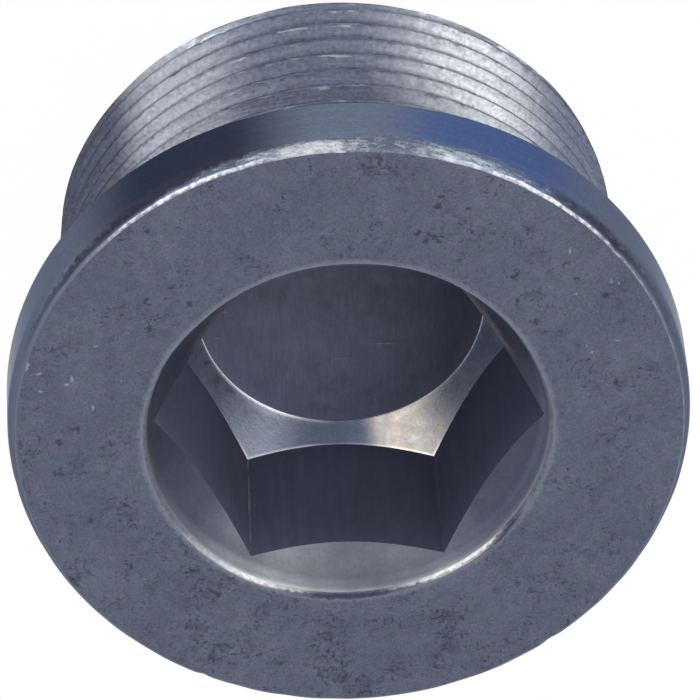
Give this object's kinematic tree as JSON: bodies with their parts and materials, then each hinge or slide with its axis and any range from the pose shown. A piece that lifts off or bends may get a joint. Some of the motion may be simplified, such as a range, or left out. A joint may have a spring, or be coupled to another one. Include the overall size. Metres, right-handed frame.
{
  "type": "hex socket screw plug",
  "caption": "Threaded steel screw plug with a round sealing collar and a blind hexagon socket in its flat head.",
  "frame": {"origin": "centre of the thread end's flat face, which the plug stands on", "axes": "+Z along the plug's axis, out of the head face; two of the socket's flats face +Y and -Y"},
  "size_m": [0.036, 0.036, 0.02],
  "materials": {
    "steel": "matte blue-grey passivated steel, brighter on the thread and on worn edges"
  },
  "bodies": {
    "root": {"plug_body": "steel"}
  },
  "joints": []
}
